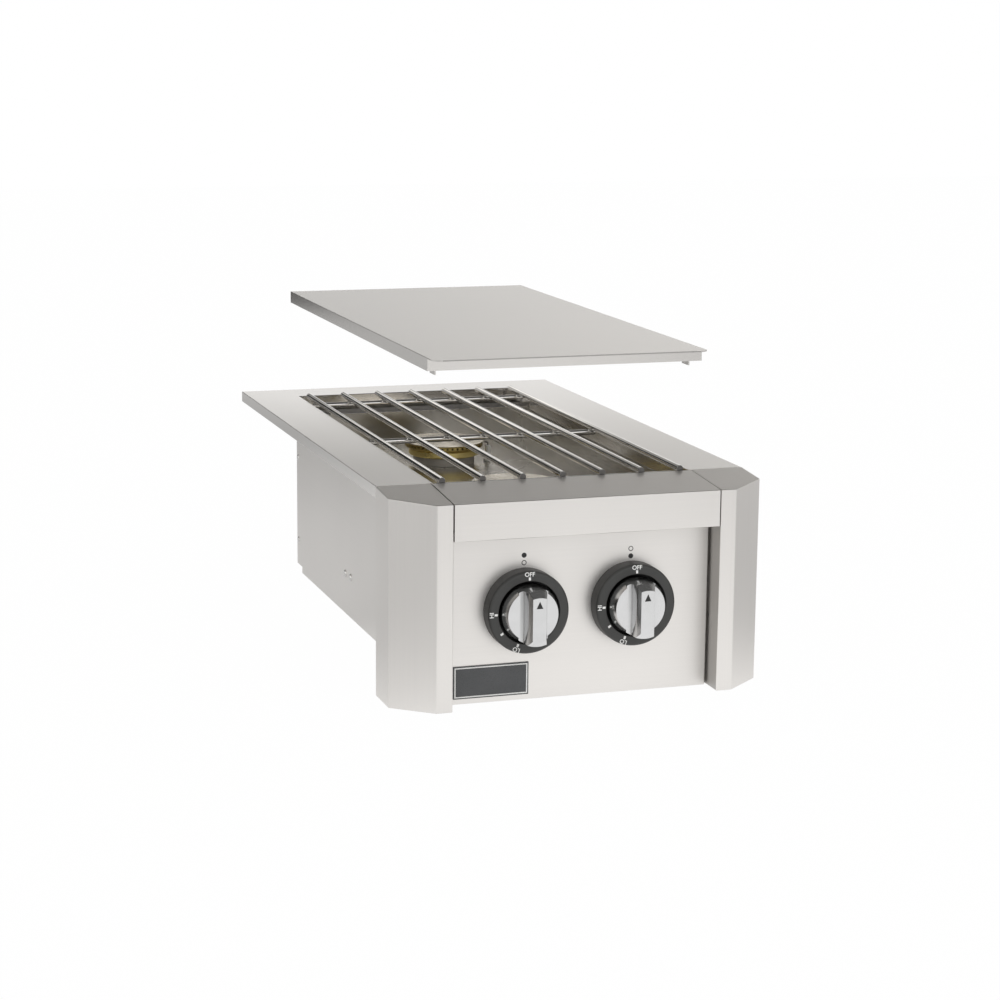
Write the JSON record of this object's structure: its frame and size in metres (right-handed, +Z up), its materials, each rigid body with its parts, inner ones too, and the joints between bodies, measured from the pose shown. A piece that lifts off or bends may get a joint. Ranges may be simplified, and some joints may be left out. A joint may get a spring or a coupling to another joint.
{
  "type": "double side burner",
  "caption": "Drop-in gas side burner: two round burners in a stainless well under a lift-out bar grate, push-and-turn knobs on a recessed panel, and a lift-off cover with a finger lip.",
  "frame": {"origin": "centre of the footprint at the height of the body's underside, with the cover where the picture shows it", "axes": "+Z up, -Y towards the user in front of the knobs, +X to the user's right"},
  "size_m": [0.362, 0.668, 0.3147],
  "materials": {
    "brushed_stainless": "brushed",
    "polished_bar": "polished",
    "brass": "plain",
    "valve_casting": "cast",
    "bezel_plastic": "satin",
    "satin_knob": "satin",
    "ceramic": "glazed",
    "lead_sleeve": "matte"
  },
  "bodies": {
    "body": {"top_frame": "brushed_stainless", "left_end_cap": "brushed_stainless", "right_end_cap": "brushed_stainless", "fascia_bar": "brushed_stainless", "control_panel": "brushed_stainless", "left_side_panel": "brushed_stainless", "right_side_panel": "brushed_stainless", "rear_panel": "brushed_stainless", "bottom_pan": "brushed_stainless", "burner_tray": "brushed_stainless", "grate_rest_front_left": "brushed_stainless", "grate_rest_rear_left": "brushed_stainless", "grate_rest_front_right": "brushed_stainless", "grate_rest_rear_right": "brushed_stainless", "manifold_pipe": "brushed_stainless", "inlet_pipe": "brushed_stainless", "inlet_fitting": "brass", "rear_burner_cap": "brass", "rear_port_ring": "brass", "rear_burner_base": "brass", "rear_venturi": "brushed_stainless", "rear_air_shutter": "brushed_stainless", "rear_venturi_support": "brushed_stainless", "rear_valve": "valve_casting", "rear_orifice": "brass", "rear_valve_clamp": "brushed_stainless", "rear_electrode": "ceramic", "rear_igniter_lead": "lead_sleeve", "rear_bezel": "bezel_plastic", "front_burner_cap": "brass", "front_port_ring": "brass", "front_burner_base": "brass", "front_venturi": "brushed_stainless", "front_air_shutter": "brushed_stainless", "front_venturi_support": "brushed_stainless", "front_valve": "valve_casting", "front_orifice": "brass", "front_valve_clamp": "brushed_stainless", "front_electrode": "ceramic", "front_igniter_lead": "lead_sleeve", "front_bezel": "bezel_plastic"},
    "grate": {"grate": "polished_bar"},
    "cover": {"cover": "brushed_stainless", "cover_tab_front_left": "brushed_stainless", "cover_tab_rear_left": "brushed_stainless", "cover_tab_front_right": "brushed_stainless", "cover_tab_rear_right": "brushed_stainless"},
    "rear_plunger": {"rear_plunger": "brass"},
    "rear_dial": {"rear_knob": "satin_knob", "rear_stem": "valve_casting"},
    "front_plunger": {"front_plunger": "brass"},
    "front_dial": {"front_knob": "satin_knob", "front_stem": "valve_casting"}
  },
  "joints": [
    {"name": "grate_lift", "type": "slide", "parent": "body", "child": "grate", "axis": [0, 0, 1], "range_m": [0, 0.05]},
    {"name": "cover_lift", "type": "slide", "parent": "grate", "child": "cover", "axis": [0, 0, 1], "range_m": [-0.1045, 0.05]},
    {"name": "rear_knob_push", "type": "slide", "parent": "body", "child": "rear_plunger", "axis": [0, 1, 0], "range_m": [0, 0.003], "stiffness_N_per_m": 1500},
    {"name": "rear_knob_turn", "type": "hinge", "parent": "rear_plunger", "child": "rear_dial", "pos_m": [-0.0543, -0.3, 0.0862], "axis": [0, -1, 0], "range_deg": [0, 160]},
    {"name": "front_knob_push", "type": "slide", "parent": "body", "child": "front_plunger", "axis": [0, 1, 0], "range_m": [0, 0.003], "stiffness_N_per_m": 1500},
    {"name": "front_knob_turn", "type": "hinge", "parent": "front_plunger", "child": "front_dial", "pos_m": [0.0499, -0.3, 0.0862], "axis": [0, -1, 0], "range_deg": [0, 160]}
  ]
}
